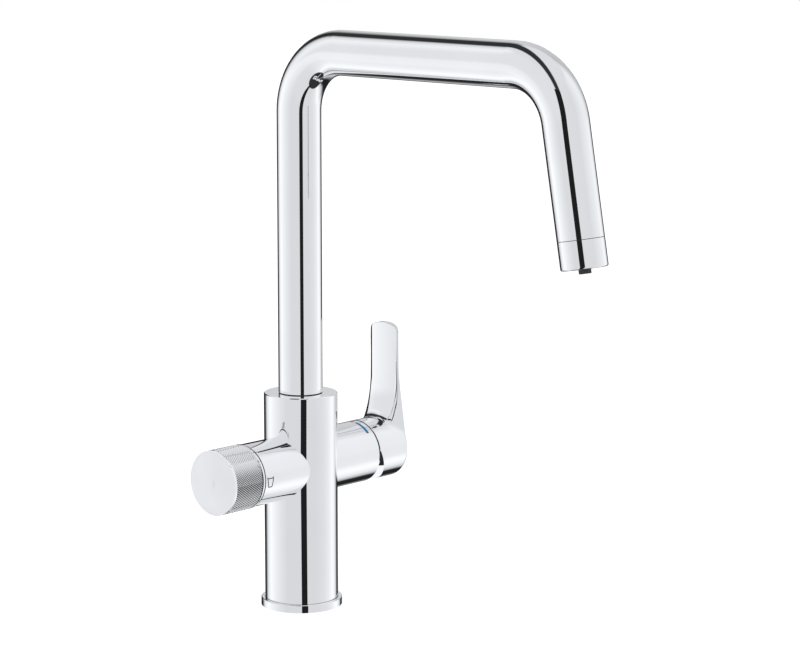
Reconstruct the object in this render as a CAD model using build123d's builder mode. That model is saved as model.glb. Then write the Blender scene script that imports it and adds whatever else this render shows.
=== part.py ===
from build123d import *
import os
from math import asin, atan, cos, degrees, radians, sin, sqrt, tan

# Filtered water kitchen tap: a swivelling square-bend spout on a round column, a
# side lever for hot and cold water on the right arm (+X) and a quarter-turn knob
# for filtered water on the left arm (-X). The spout points to the front (-Y).
# Millimetres, +Z up. The origin is the centre of the base on the worktop.

# Column
column_r = 23.35
column_top = 138.0
column_edge = 0.5
cavity_r = 19.4
cavity_top = 58.0

# Base ring and its gasket
ring_r = 25.85
ring_h = 5.0
ring_floor = 2.4
ring_gap = 0.35
ring_bore_r = 17.5
ring_edge = 0.7
gasket_inner_r = 20.0
gasket_outer_r = 24.0
gasket_t = 1.2

# Side arms
arm_z = 91.5
arm_r = 20.0
arm_edge = 0.4
mixer_arm_end = 52.8
filter_arm_end = 51.8

# Fits and clearances
running = 0.06
slide_gap = 0.1
seal_gap = 0.03
seat_gap = 0.05
# How far a cut runs past the face that it opens
overrun = 1.0

# Inlet manifold, in the hollow foot of the column
manifold_bottom = 34.0
port_circle_r = 10.8
port_angles = {"hot": 45.0, "filtered": 135.0, "stud": 225.0, "cold": 315.0}
inlet_thread_r = 4.5
inlet_thread_len = 12.0
waterway_r = 3.0
stud_thread_r = 3.4
stud_thread_len = 16.0
port_seal_r = 4.9
port_seal_t = 1.0
mixed_way_r = 3.1
filter_riser_r = 2.7
filter_cross_r = 2.4
way_tip = 0.5
manifold_screw_y = 12.6
m4_r = 2.0
m4_head_r = 3.5
m4_head_h = 4.0
m4_key = 3.0
m4_key_depth = 2.0
manifold_screw_bite = 10.0

# Spout socket in the top of the column
socket_r = 13.9
socket_depth = 26.5
boss_r = 6.6
boss_h = 9.5
boss_bore_r = 4.1
boss_bore_lift = 1.5
stop_lift = 12.5
stop_screw_r = 2.5
stop_screw_sink = 1.4
stop_key = 2.5
stop_key_depth = 3.0
dog_r = 2.0
dog_tip = 11.6
swivel_limit = 75.0

# Spout tube
tube_r = 14.0
tube_wall = 1.2
spout_z = 354.5
spout_reach = 209.0
bend_r = 38.0
leg_lean = 10.3
leg_len = 116.2
washer_t = 0.5
washer_inset = 0.3

# Spout foot
foot_gap = 0.8
foot_wall_r = 9.6
foot_plug_len = 21.0
stop_groove_r = 11.2
stop_groove_gap = 0.4
oring_groove_r = 12.0
oring_h = 2.0
oring_lifts = (7.0, 22.0)
glide_lift = 3.5
glide_h = 2.8
glide_groove_r = 12.4

# Inner line for filtered water
line_r = 3.5
line_wall = 1.0
nipple_collar_h = 3.6
nipple_barb = 8.0
nipple_bore_r = 1.6
nipple_play = 0.4
nipple_collar_r = 5.6
nipple_seal_lift = 4.0
nipple_seal_h = 1.6
nipple_groove_r = 3.1

# Outlet on the end of the spout
sleeve_len = 16.9
seam_gap = 0.35
sleeve_wall = 1.7
sleeve_lip_t = 1.8
sleeve_mouth_r = 10.8
sleeve_edge = 1.2
thread_ring_len = 15.0
thread_ring_bore_r = 10.2
thread_ring_grip = 7.0
outlet_seal_t = 1.2
aerator_h = 6.8
aerator_roof = 1.2
aerator_pocket_r = 10.6
aerator_hub_r = 4.9
aerator_jets = 10
aerator_jet_r = 1.0
grid_h = 3.4
grid_inset = 0.5
grid_slots = 14
grid_slot_len = 4.0
grid_slot_w = 0.9
nozzle_r = 3.7
nozzle_stand = 2.9
nozzle_bore_r = 2.0
nozzle_flange_r = 5.2
nozzle_ribs = 18
nozzle_rib_depth = 0.35
nozzle_rib_gap = 0.6

# Mixer cartridge in the right arm, along +X
valve_floor = 21.0
valve_bore_r = 14.25
cartridge_ports_r = 7.0
cartridge_port_r = 2.9
cartridge_seal_wall = 1.4
cartridge_seal_t = 1.4
base_t = 4.0
disc_t = 3.5
disc_peg_r = 1.5
disc_peg_play = 0.3
slider_t = 3.0
slider_r = 8.6
slider_pocket_r = 5.8
slider_pocket_t = 1.4
carrier_t = 5.3
carrier_floor = 0.9
carrier_flat = 6.9
carrier_lug_r = 1.1
carrier_lug_len = 1.1
carrier_lug_y = 5.2
shell_wall = 1.75
shell_top = 40.0
shell_top_t = 3.0
shell_neck_r = 12.0
shell_neck_len = 4.0
turret_r = 8.0
turret_end = 54.5
turret_flange_t = 2.8
turret_flange_gap = 0.2
turret_slot_w = 7.0
turret_slot_h = 10.4
turret_cheek_r = 12.1
nut_bore_r = 17.3
nut_len = 6.9
nut_slots = 6
nut_slot_w = 3.0
nut_slot_t = 2.0
cover_t = 2.0
cover_gap = 0.4
cover_bore_r = 9.2

# Lever stem, pivot and handle
stem_w = 6.6
stem_arm = 14.4
stem_out = 15.6
stem_square_in = 8.0
stem_tilt = 11.0
ball_r = 2.6
ball_play = 0.15
ball_neck_r = 2.0
ball_depth_play = 0.25
pin_r = 1.5
pin_len = 15.4
lift_limit = 22.0
cap_r = 20.1
cap_start = 53.1
cap_end = 80.4
cap_shoulder = 79.7
cap_round = 2.0
rim_break_z = 94.7
rim_slant = 23.1
cap_cavity_r = 12.5
cap_cavity_end = 59.2
socket_play = 0.06
blade_top = 172.5
blade_arch_r = 26.0
blade_corner = 3.0
grip_x = 62.2
grip_screw_r = 2.5
grip_screw_len = 6.0
grip_plug_t = 2.0
grip_plug_sink = 0.6

blade_root = 98.0
blade_sections = 10
blade_inner_x = 77.75
blade_bend_z = 136.0
blade_bend_r = 53.0
blade_half_w = 12.1
blade_flare_z = 146.0
blade_flare_r = 100.0
blade_flare_slope = 0.14
blade_side_x = 79.45
blade_lean = 0.9
blade_bulge = 1.1
blade_edge_r = 5.0
blade_edge_share = 0.6
blade_crown_root = 0.75
blade_crown = 2.5
blade_crown_rise = 50.0

# Ceramic headpart for filtered water in the left arm, along -X
seat_floor = 12.0
seat_port_r = 3.2
head_bore_r = 10.4
head_bore_end = 38.0
head_recess_r = 16.8
seat_seal_t = 2.6
seat_seal_bore_r = 5.8
head_nose_r = 8.6
head_nose_end = 26.4
head_chamber_r = 7.0
head_hex = 24.0
head_hex_len = 6.0
head_neck_r = 8.0
head_end = 51.9
head_window_r = 1.3
head_seal_t = 1.6
quarter_disc_t = 2.5
quarter_port_r = 1.7
quarter_port_at = 3.8
fork_t = 2.7
fork_w = 5.0
fork_lug_len = 1.0
fork_lug_w = 2.2
fork_lug_t = 1.6
spindle_r = 4.0
spindle_end = 66.0
spindle_flat = 3.2
spindle_seal_h = 2.0
spindle_seal_r = 3.1
spindle_seal_at = (29.0, 35.0)
clip_at = 52.2
clip_t = 0.9
clip_groove_r = 3.2
clip_r = 5.6
clip_gap = 4.4
outlet_rise_x = 18.0
outlet_cross_z = 106.2
mixed_way_x = 10.2

# Filter knob
knob_r = 20.5
knob_gap = 0.5
knob_end = 77.3
knob_bore_r = 18.2
knob_rib_r = 15.0
knob_rib_at = 66.0
knob_rib_t = 2.0
knob_band = 1.2
knurl_depth = 0.3
hub_r = 8.5
hub_start = 54.2
hub_flange_t = 2.6
face_r = 19.6
face_t = 2.0
face_dome = 0.5
face_rebate = 0.05
knob_screw_r = 1.5
knob_screw_len = 12.0
knob_screw_head_r = 2.8
knob_screw_head_h = 2.6

# Heights of the spout socket and what sits in it
socket_floor = column_top - socket_depth
boss_top = socket_floor + boss_h
boss_bore_floor = socket_floor + boss_bore_lift
stop_z = socket_floor + stop_lift
glide_z = socket_floor + glide_lift
oring_z = [socket_floor + lift for lift in oring_lifts]
nipple_seal_z = boss_bore_floor + nipple_seal_lift
nipple_top = boss_top + nipple_play + nipple_collar_h

# Lines through the tap: x_dir runs along the line and y_dir is a radius
lean = radians(leg_lean)
leg_dir = Vector(0, -sin(lean), -cos(lean))
leg_corner = Vector(0, -spout_reach, spout_z)
column_line = Plane(origin=(0, 0, 0), x_dir=(0, 0, 1), z_dir=(0, 1, 0))
mixer_line = Plane(origin=(0, 0, arm_z), x_dir=(1, 0, 0), z_dir=(0, -1, 0))
filter_line = Plane(origin=(0, 0, arm_z), x_dir=(-1, 0, 0), z_dir=(0, 1, 0))
leg_line = Plane(origin=leg_corner, x_dir=leg_dir, z_dir=(0, -cos(lean), sin(lean)))
back_line = Plane(origin=(0, 0, stop_z), x_dir=(0, 1, 0), z_dir=(1, 0, 0))
low_end = (Align.CENTER, Align.CENTER, Align.MIN)


def upright(x, y):
    """A vertical line at a place on the plan."""
    return Plane(origin=(x, y, 0), x_dir=(0, 0, 1), z_dir=(0, 1, 0))


def across(line, at, up=0.0, side=0.0):
    """A plane square to a line, looking along it, moved up and sideways from it."""
    spot = line.origin + line.x_dir * at + line.y_dir * up + line.z_dir * side
    return Plane(origin=spot, x_dir=line.y_dir, z_dir=line.x_dir)


def ring(line, start, end, inner, outer, mode=Mode.ADD):
    """A flat ring on a line, in the part being built."""
    with BuildSketch(across(line, start)) as section:
        Circle(outer)
        Circle(inner, mode=Mode.SUBTRACT)
    extrude(section.sketch, amount=end - start, mode=mode)


def turned(line, *outline):
    """Spins a closed outline of (along, radius) points about a line, in the part being built."""
    with BuildSketch(line) as profile:
        with BuildLine():
            Polyline(*outline, close=True)
        make_face()
    revolve(profile.sketch, axis=Axis(line.origin, line.x_dir))


def bar(line, start, end, radius, up=0.0, side=0.0, mode=Mode.ADD):
    """A round bar along a line, in the part being built."""
    with Locations(across(line, start, up, side)):
        Cylinder(radius, end - start, align=low_end, mode=mode)


def drill(line, start, end, radius, up=0.0, side=0.0):
    """Takes a round hole out of the part being built."""
    bar(line, start, end, radius, up, side, Mode.SUBTRACT)


def groove(line, start, end, floor_r, outer_r):
    """Turns a groove into the outside of the part being built."""
    ring(line, start, end, floor_r, outer_r + overrun, Mode.SUBTRACT)


def save(piece, label):
    piece.part.label = label
    export_step(piece.part, f"parts/{label}.step")


def port_spot(name):
    """Where a port of the manifold is, seen from above."""
    angle = radians(port_angles[name])
    return port_circle_r * cos(angle), port_circle_r * sin(angle)


os.makedirs("parts", exist_ok=True)

# Places worked out from the sizes
inlets = ("hot", "cold", "filtered")
inlet_spots = [port_spot(name) for name in inlets]
screw_spots = [(0, manifold_screw_y), (0, -manifold_screw_y)]
manifold_r = cavity_r - slide_gap
disc_start = valve_floor + base_t
slider_start = disc_start + disc_t
carrier_start = slider_start + slider_t
carrier_end = carrier_start + carrier_t
pivot_x = carrier_start + carrier_floor + ball_depth_play + ball_r + stem_arm
slider_rest = -stem_arm * sin(radians(stem_tilt))
cartridge_r = valve_bore_r - slide_gap
shell_bore_r = cartridge_r - shell_wall
disc_r = shell_bore_r - slide_gap
turret_flange_end = shell_top - turret_flange_gap
turret_flange_start = turret_flange_end - turret_flange_t
nut_start = shell_top + shell_top_t
nut_end = nut_start + nut_len
cover_start = nut_end + cover_gap
hub_bore_r = spindle_r + seat_gap
nut_r = nut_bore_r - slide_gap
cartridge_spots = [
    (cartridge_ports_r * cos(radians(a)), cartridge_ports_r * sin(radians(a)))
    for a in (0, 120, 240)
]
foot_r = socket_r - running
foot_bottom = socket_floor + foot_gap
seal_outer_r = socket_r - seal_gap
tube_start = column_top + washer_t
tube_bore_r = tube_r - tube_wall
foot_plug_r = tube_bore_r - seat_gap
foot_plug_end = tube_start + foot_plug_len
line_bore_r = line_r - line_wall
barb_r = line_bore_r - seat_gap
sleeve_start = leg_len - sleeve_len
tube_end = sleeve_start - seam_gap
sleeve_bore_r = tube_r - sleeve_wall
sleeve_lip = leg_len - sleeve_lip_t
aerator_start = sleeve_lip - aerator_h
aerator_r = sleeve_bore_r - slide_gap
aerator_end = leg_len - grid_inset
thread_ring_end = aerator_start - outlet_seal_t
thread_ring_start = thread_ring_end - thread_ring_len
rotor_start = seat_floor + seat_seal_t + quarter_disc_t
fork_start = rotor_start + quarter_disc_t
fork_end = fork_start + fork_t
head_start = seat_floor + seat_seal_t
head_hex_start = head_bore_end + head_seal_t
head_hex_end = head_hex_start + head_hex_len
head_thread_r = head_bore_r - seat_gap
spindle_bore_r = spindle_r + running
knob_start = filter_arm_end + knob_gap
face_start = knob_end - face_t
hub_flange_start = knob_rib_at + knob_rib_t
hub_end = hub_flange_start + hub_flange_t

# Column with its two arms: the chromed casting that everything else fits into
hot_x, hot_y = port_spot("hot")
cold_x, cold_y = port_spot("cold")
filtered_x, filtered_y = port_spot("filtered")
mixed_up, mixed_side = cartridge_spots[0]
feed_up, feed_side = cartridge_spots[1]
with BuildPart() as column:
    bar(column_line, ring_floor, column_top, column_r)
    chamfer(column.edges().filter_by(GeomType.CIRCLE).sort_by(Axis.Z)[-1], column_edge)
    bar(mixer_line, -filter_arm_end, mixer_arm_end, arm_r)
    arm_rims = column.edges().filter_by(GeomType.CIRCLE).sort_by(Axis.X)
    chamfer([arm_rims[0], arm_rims[-1]], arm_edge)
    # Hollow foot, and the screw holes that hold the manifold in it
    drill(column_line, ring_floor, cavity_top, cavity_r)
    for spot in screw_spots:
        drill(upright(*spot), cavity_top, cavity_top + manifold_screw_bite, m4_r)
    # Socket for the spout, with the boss that the inner line plugs into
    drill(column_line, socket_floor, column_top, socket_r)
    bar(column_line, socket_floor, boss_top, boss_r)
    drill(column_line, boss_bore_floor, boss_top, boss_bore_r)
    drill(back_line, socket_r - overrun, column_r + overrun, stop_screw_r)
    # Bores of the two valves
    drill(mixer_line, valve_floor, mixer_arm_end, valve_bore_r)
    drill(mixer_line, nut_start, mixer_arm_end, nut_bore_r)
    drill(filter_line, seat_floor, filter_arm_end, head_bore_r)
    drill(filter_line, head_bore_end, filter_arm_end, head_recess_r)
    # Hot and cold ways up to the cartridge, and the mixed way up to the socket
    feed_top = arm_z + feed_up + cartridge_port_r + way_tip
    for spot_x, spot_y, side in ((hot_x, hot_y, -feed_side), (cold_x, cold_y, feed_side)):
        drill(upright(spot_x, spot_y), cavity_top, feed_top, waterway_r)
        drill(mixer_line, spot_x, valve_floor, cartridge_port_r, feed_up, side)
    mixed_floor = arm_z + mixed_up - cartridge_port_r - way_tip
    drill(mixer_line, mixed_way_x, valve_floor, cartridge_port_r, mixed_up, mixed_side)
    drill(upright(mixed_way_x, 0), mixed_floor, socket_floor, mixed_way_r)
    # Filtered way: up to the seat, out over the headpart and across to the boss
    seat_line = Plane(origin=(filtered_x, filtered_y, arm_z), x_dir=(0, -1, 0), z_dir=(1, 0, 0))
    filter_top = arm_z + filter_cross_r + way_tip
    drill(upright(filtered_x, filtered_y), cavity_top, filter_top, filter_riser_r)
    drill(seat_line, 0, filtered_y + filter_cross_r, filter_cross_r)
    drill(filter_line, -filtered_x - seat_port_r, seat_floor, seat_port_r)
    cross_line = Plane(origin=(0, 0, outlet_cross_z), x_dir=(-1, 0, 0), z_dir=(0, 1, 0))
    rise_top = outlet_cross_z + filter_cross_r + way_tip
    drill(upright(-outlet_rise_x, 0), arm_z, rise_top, filter_riser_r)
    drill(cross_line, 0, outlet_rise_x, filter_cross_r)
    drill(column_line, outlet_cross_z - filter_cross_r - way_tip, boss_bore_floor, filter_riser_r)
save(column, "column")

# Base ring: the column stands on its floor, inside its wall
with BuildPart() as base_ring:
    bar(column_line, 0, ring_h, ring_r)
    rims = base_ring.edges().filter_by(GeomType.CIRCLE)
    fillet(rims.sort_by(Axis.Z)[-1], ring_edge)
    drill(column_line, ring_floor, ring_h, column_r + ring_gap)
    drill(column_line, 0, ring_floor, ring_bore_r)
    with BuildSketch(across(column_line, 0)):
        Circle(gasket_outer_r)
        Circle(gasket_inner_r, mode=Mode.SUBTRACT)
    extrude(amount=gasket_t, mode=Mode.SUBTRACT)
save(base_ring, "base_ring")
with BuildPart() as base_gasket:
    ring(column_line, 0, gasket_t, gasket_inner_r + seat_gap, gasket_outer_r - seat_gap)
save(base_gasket, "base_gasket")

# Inlet manifold: three hose threads and the stud thread from below, face seals on top
with BuildPart() as manifold:
    bar(column_line, manifold_bottom, cavity_top, manifold_r)
    for spot in inlet_spots:
        drill(upright(*spot), manifold_bottom, cavity_top, waterway_r)
        drill(upright(*spot), manifold_bottom, manifold_bottom + inlet_thread_len, inlet_thread_r)
        drill(upright(*spot), cavity_top - port_seal_t, cavity_top, port_seal_r + seat_gap)
    stud_line = upright(*port_spot("stud"))
    drill(stud_line, manifold_bottom, manifold_bottom + stud_thread_len, stud_thread_r)
    for spot in screw_spots:
        drill(upright(*spot), manifold_bottom, cavity_top, m4_r + slide_gap)
        drill(upright(*spot), manifold_bottom, manifold_bottom + m4_head_h, m4_head_r + slide_gap)
save(manifold, "inlet_manifold")

with BuildPart() as manifold_seals:
    with BuildSketch(Plane.XY.offset(cavity_top - port_seal_t)):
        with Locations(*inlet_spots):
            Circle(port_seal_r)
            Circle(waterway_r, mode=Mode.SUBTRACT)
    extrude(amount=port_seal_t)
save(manifold_seals, "manifold_seals")

with BuildPart() as manifold_screws:
    for spot in screw_spots:
        axis_line = upright(*spot)
        bar(axis_line, manifold_bottom, manifold_bottom + m4_head_h, m4_head_r)
        shank_end = cavity_top + manifold_screw_bite - way_tip
        bar(axis_line, manifold_bottom + m4_head_h, shank_end, m4_r - seal_gap)
        with BuildSketch(across(axis_line, manifold_bottom)):
            RegularPolygon(m4_key / 2, 6, major_radius=False)
        extrude(amount=m4_key_depth, mode=Mode.SUBTRACT)
save(manifold_screws, "manifold_screws")

# Stop screw: its dog runs in the slot of the spout foot and limits the swivel
with BuildPart() as stop_screw:
    turned(
        back_line,
        (dog_tip, 0),
        (dog_tip, dog_r),
        (socket_r, dog_r),
        (socket_r, stop_screw_r - seal_gap),
        (column_r - stop_screw_sink, stop_screw_r - seal_gap),
        (column_r - stop_screw_sink, 0),
    )
    with BuildSketch(across(back_line, column_r - stop_screw_sink)):
        RegularPolygon(stop_key / 2, 6, major_radius=False)
    extrude(amount=-stop_key_depth, mode=Mode.SUBTRACT)
save(stop_screw, "stop_screw")

# Spout foot: turns in the socket and plugs into the tube
stop_play = degrees(asin((dog_r + stop_groove_gap) / dog_tip))
slot_start = radians(90 - swivel_limit - stop_play)
slot_plane = Plane(
    origin=(0, 0, stop_z), x_dir=(0, 0, 1), z_dir=(-sin(slot_start), cos(slot_start), 0)
)
with BuildPart() as foot:
    turned(
        column_line,
        (foot_bottom, foot_wall_r),
        (foot_bottom, foot_r),
        (column_top, foot_r),
        (column_top, foot_plug_r),
        (foot_plug_end, foot_plug_r),
        (foot_plug_end, foot_wall_r),
    )
    groove(column_line, glide_z, glide_z + glide_h, glide_groove_r, foot_r)
    for seal_z in oring_z:
        groove(column_line, seal_z, seal_z + oring_h, oring_groove_r, foot_r)
    with BuildSketch(slot_plane):
        with Locations((0, stop_groove_r)):
            Rectangle(
                2 * (dog_r + stop_groove_gap),
                foot_r + overrun - stop_groove_r,
                align=(Align.CENTER, Align.MIN),
            )
    revolve(axis=Axis.Z, revolution_arc=2 * (swivel_limit + stop_play), mode=Mode.SUBTRACT)
save(foot, "spout_foot")

with BuildPart() as glide_ring:
    glide_end = glide_z + glide_h
    ring(column_line, glide_z + seal_gap, glide_end - seal_gap, glide_groove_r + seal_gap, seal_outer_r)
save(glide_ring, "glide_ring")

with BuildPart() as spout_seals:
    for seal_z in oring_z:
        seal_end = seal_z + oring_h - seal_gap
        ring(column_line, seal_z + seal_gap, seal_end, oring_groove_r + seal_gap, seal_outer_r)
save(spout_seals, "spout_seals")

with BuildPart() as spout_washer:
    ring(column_line, column_top, tube_start, foot_plug_r + seal_gap, tube_r - washer_inset)
save(spout_washer, "spout_washer")


def bent_tube(start, end, inner, outer):
    """A tube up the column line, along the reach and down the leg to a place on it."""
    with BuildPart() as piece:
        tip = leg_corner + leg_dir * end
        with BuildLine(Plane.YZ):
            FilletPolyline(
                (0, start), (0, spout_z), (-spout_reach, spout_z), (tip.Y, tip.Z), radius=bend_r
            )
        with BuildSketch(Plane.XY.offset(start)):
            Circle(outer)
            Circle(inner, mode=Mode.SUBTRACT)
        sweep()
    return piece


spout_tube = bent_tube(tube_start, tube_end, tube_bore_r, tube_r)
save(spout_tube, "spout_tube")
filter_line_tube = bent_tube(nipple_top, thread_ring_end, line_bore_r, line_r)
save(filter_line_tube, "filtered_water_line")

# Nipple that brings filtered water from the boss into the inner line
nipple_r = boss_bore_r - running
with BuildPart() as nipple:
    turned(
        column_line,
        (boss_bore_floor + nipple_play, nipple_bore_r),
        (boss_bore_floor + nipple_play, nipple_r),
        (boss_top + nipple_play, nipple_r),
        (boss_top + nipple_play, nipple_collar_r),
        (nipple_top, nipple_collar_r),
        (nipple_top, barb_r),
        (nipple_top + nipple_barb, barb_r),
        (nipple_top + nipple_barb, nipple_bore_r),
    )
    groove(column_line, nipple_seal_z, nipple_seal_z + nipple_seal_h, nipple_groove_r, nipple_r)
save(nipple, "line_nipple")
with BuildPart() as nipple_seal:
    ring(
        column_line,
        nipple_seal_z + seal_gap,
        nipple_seal_z + nipple_seal_h - seal_gap,
        nipple_groove_r + seal_gap,
        boss_bore_r - seal_gap,
    )
save(nipple_seal, "nipple_seal")

# Outlet: a threaded ring in the tube's end carries the sleeve with the aerator
with BuildPart() as thread_ring:
    turned(
        leg_line,
        (thread_ring_start, thread_ring_bore_r),
        (thread_ring_start, tube_bore_r - seat_gap),
        (tube_end, tube_bore_r - seat_gap),
        (tube_end, sleeve_bore_r - seat_gap),
        (thread_ring_end, sleeve_bore_r - seat_gap),
        (thread_ring_end, thread_ring_bore_r),
    )
save(thread_ring, "outlet_thread_ring")
with BuildPart() as sleeve:
    turned(
        leg_line,
        (sleeve_start, sleeve_bore_r),
        (sleeve_start, tube_r),
        (leg_len, tube_r),
        (leg_len, sleeve_mouth_r),
        (sleeve_lip, sleeve_mouth_r),
        (sleeve_lip, sleeve_bore_r),
    )
    lip_rims = sleeve.edges().filter_by(GeomType.CIRCLE)
    fillet(lip_rims.sort_by(Axis(leg_line.origin, leg_dir))[-2:].sort_by(SortBy.RADIUS)[-1], sleeve_edge)
save(sleeve, "outlet_sleeve")
with BuildPart() as outlet_seal:
    ring(leg_line, thread_ring_end, aerator_start, thread_ring_bore_r, aerator_r)
save(outlet_seal, "outlet_seal")

with BuildPart() as aerator:
    turned(
        leg_line,
        (aerator_start, nozzle_r + seat_gap),
        (aerator_start, aerator_r),
        (sleeve_lip, aerator_r),
        (sleeve_lip, aerator_pocket_r),
        (aerator_start + aerator_roof, aerator_pocket_r),
        (aerator_start + aerator_roof, aerator_hub_r),
        (aerator_end, aerator_hub_r),
        (aerator_end, nozzle_r + seat_gap),
    )
    with Locations(across(leg_line, aerator_start)):
        with PolarLocations((aerator_hub_r + aerator_pocket_r) / 2, aerator_jets):
            Cylinder(aerator_jet_r, aerator_roof, align=low_end, mode=Mode.SUBTRACT)
save(aerator, "aerator_body")

with BuildPart() as grid:
    ring(
        leg_line, aerator_end - grid_h, aerator_end, aerator_hub_r + seat_gap, aerator_pocket_r - seat_gap
    )
    with Locations(across(leg_line, aerator_end - grid_h)):
        with PolarLocations((aerator_hub_r + aerator_pocket_r) / 2, grid_slots):
            Box(grid_slot_len, grid_slot_w, grid_h, align=low_end, mode=Mode.SUBTRACT)
save(grid, "aerator_grid")

# Nozzle for filtered water in the middle of the aerator
nozzle_end = leg_len + nozzle_stand
with BuildPart() as nozzle:
    turned(
        leg_line,
        (thread_ring_end - nipple_barb, nipple_bore_r),
        (thread_ring_end - nipple_barb, barb_r),
        (thread_ring_end, barb_r),
        (thread_ring_end, nozzle_flange_r),
        (aerator_start, nozzle_flange_r),
        (aerator_start, nozzle_r),
        (nozzle_end, nozzle_r),
        (nozzle_end, nozzle_bore_r),
        (thread_ring_end, nozzle_bore_r),
        (thread_ring_end, nipple_bore_r),
    )
    with Locations(across(leg_line, leg_len)):
        with PolarLocations(nozzle_r, nozzle_ribs):
            Box(2 * nozzle_rib_depth, nozzle_rib_gap, nozzle_stand, align=low_end, mode=Mode.SUBTRACT)
save(nozzle, "filtered_water_nozzle")

# Mixer cartridge: base with face seals, fixed disc, sliding disc, carrier, shell
with BuildPart() as cartridge_base:
    bar(mixer_line, valve_floor, disc_start, cartridge_r)
    for up, side in cartridge_spots:
        drill(mixer_line, valve_floor, disc_start, cartridge_port_r, up, side)
        seal_r = cartridge_port_r + cartridge_seal_wall + seat_gap
        drill(mixer_line, valve_floor, valve_floor + cartridge_seal_t, seal_r, up, side)
    for side in (-disc_r, disc_r):
        bar(mixer_line, disc_start, slider_start - disc_peg_play, disc_peg_r, 0, side)
    with BuildSketch(across(mixer_line, disc_start)):
        Circle(cartridge_r + disc_peg_r)
        Circle(disc_r, mode=Mode.SUBTRACT)
    extrude(amount=disc_t, mode=Mode.SUBTRACT)
save(cartridge_base, "cartridge_base")

with BuildPart() as cartridge_seals:
    with BuildSketch(across(mixer_line, valve_floor)):
        with Locations(*cartridge_spots):
            Circle(cartridge_port_r + cartridge_seal_wall)
            Circle(cartridge_port_r, mode=Mode.SUBTRACT)
    extrude(amount=cartridge_seal_t)
save(cartridge_seals, "cartridge_seals")

with BuildPart() as fixed_disc:
    bar(mixer_line, disc_start, slider_start, disc_r)
    for up, side in cartridge_spots:
        drill(mixer_line, disc_start, slider_start, cartridge_port_r, up, side)
    for side in (-disc_r, disc_r):
        drill(mixer_line, disc_start, slider_start, disc_peg_r + seat_gap, 0, side)
save(fixed_disc, "fixed_disc")

with BuildPart() as sliding_disc:
    bar(mixer_line, slider_start, carrier_start, slider_r, slider_rest)
    drill(mixer_line, slider_start, slider_start + slider_pocket_t, slider_pocket_r, slider_rest)
    for side in (-carrier_lug_y, carrier_lug_y):
        lug_hole_start = carrier_start - carrier_lug_len - seat_gap
        drill(mixer_line, lug_hole_start, carrier_start, carrier_lug_r + seat_gap, slider_rest, side)
save(sliding_disc, "sliding_disc")

with BuildPart() as disc_carrier:
    with BuildSketch(across(mixer_line, carrier_start, slider_rest)):
        Circle(slider_r)
        Rectangle(2 * slider_r, 2 * carrier_flat, mode=Mode.INTERSECT)
    extrude(amount=carrier_t)
    pocket_r = ball_r + ball_play
    drill(mixer_line, carrier_start + carrier_floor, carrier_end, pocket_r, slider_rest)
    for side in (-carrier_lug_y, carrier_lug_y):
        lug_start = carrier_start - carrier_lug_len
        bar(mixer_line, lug_start, carrier_start, carrier_lug_r, slider_rest, side)
save(disc_carrier, "disc_carrier")

with BuildPart() as cartridge_shell:
    turned(
        mixer_line,
        (disc_start, shell_bore_r),
        (disc_start, cartridge_r),
        (nut_start, cartridge_r),
        (nut_start, shell_neck_r),
        (nut_start + shell_neck_len, shell_neck_r),
        (nut_start + shell_neck_len, turret_r + running),
        (shell_top, turret_r + running),
        (shell_top, shell_bore_r),
    )
save(cartridge_shell, "cartridge_shell")

# Turret: turns in the shell with the handle, holds the pivot and guides the carrier
with BuildPart() as turret:
    bar(mixer_line, turret_flange_start, turret_flange_end, turret_cheek_r)
    bar(mixer_line, turret_flange_end, turret_end, turret_r)
    with BuildSketch(across(mixer_line, carrier_start + turret_flange_gap)):
        Circle(turret_cheek_r)
        Rectangle(2 * turret_cheek_r, 2 * (carrier_flat + slide_gap), mode=Mode.SUBTRACT)
    extrude(until=Until.NEXT)
    with BuildSketch(across(mixer_line, turret_flange_start)):
        Rectangle(turret_slot_h, turret_slot_w)
    extrude(amount=turret_end - turret_flange_start, mode=Mode.SUBTRACT)
    with Locations(Plane(origin=(pivot_x, 0, arm_z), x_dir=(1, 0, 0), z_dir=(0, 1, 0))):
        Cylinder(pin_r + seal_gap, 2 * turret_cheek_r, mode=Mode.SUBTRACT)
save(turret, "turret")

pivot_line = Plane(origin=(pivot_x, 0, arm_z), x_dir=(0, 1, 0), z_dir=(1, 0, 0))
with BuildPart() as pivot_pin:
    bar(pivot_line, -pin_len / 2, pin_len / 2, pin_r)
save(pivot_pin, "pivot_pin")

# Lever stem: a square bar through the turret with a ball that moves the carrier
tilt = radians(stem_tilt)
stem_line = Plane(origin=(pivot_x, 0, arm_z), x_dir=(cos(tilt), 0, sin(tilt)), z_dir=(0, -1, 0))
with BuildPart() as stem:
    with BuildSketch(across(stem_line, -stem_square_in)):
        Rectangle(stem_w, stem_w)
    extrude(amount=stem_square_in + stem_out)
    bar(stem_line, -stem_arm, -stem_square_in, ball_neck_r)
    with Locations(across(stem_line, -stem_arm)):
        Sphere(ball_r)
    drill(pivot_line, -stem_w, stem_w, pin_r + running)
save(stem, "lever_stem")

# Nut that clamps the cartridge, and the trim disc that closes the arm around the turret
with BuildPart() as nut:
    ring(mixer_line, nut_start, nut_end, shell_neck_r + slide_gap, nut_r)
    with Locations(across(mixer_line, nut_end)):
        with PolarLocations((shell_neck_r + nut_r) / 2, nut_slots):
            Box(nut_r, nut_slot_w, 2 * nut_slot_t, mode=Mode.SUBTRACT)
save(nut, "cartridge_nut")

with BuildPart() as cover:
    ring(mixer_line, cover_start, cover_start + cover_t, cover_bore_r, nut_r)
save(cover, "arm_cover_disc")


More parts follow.
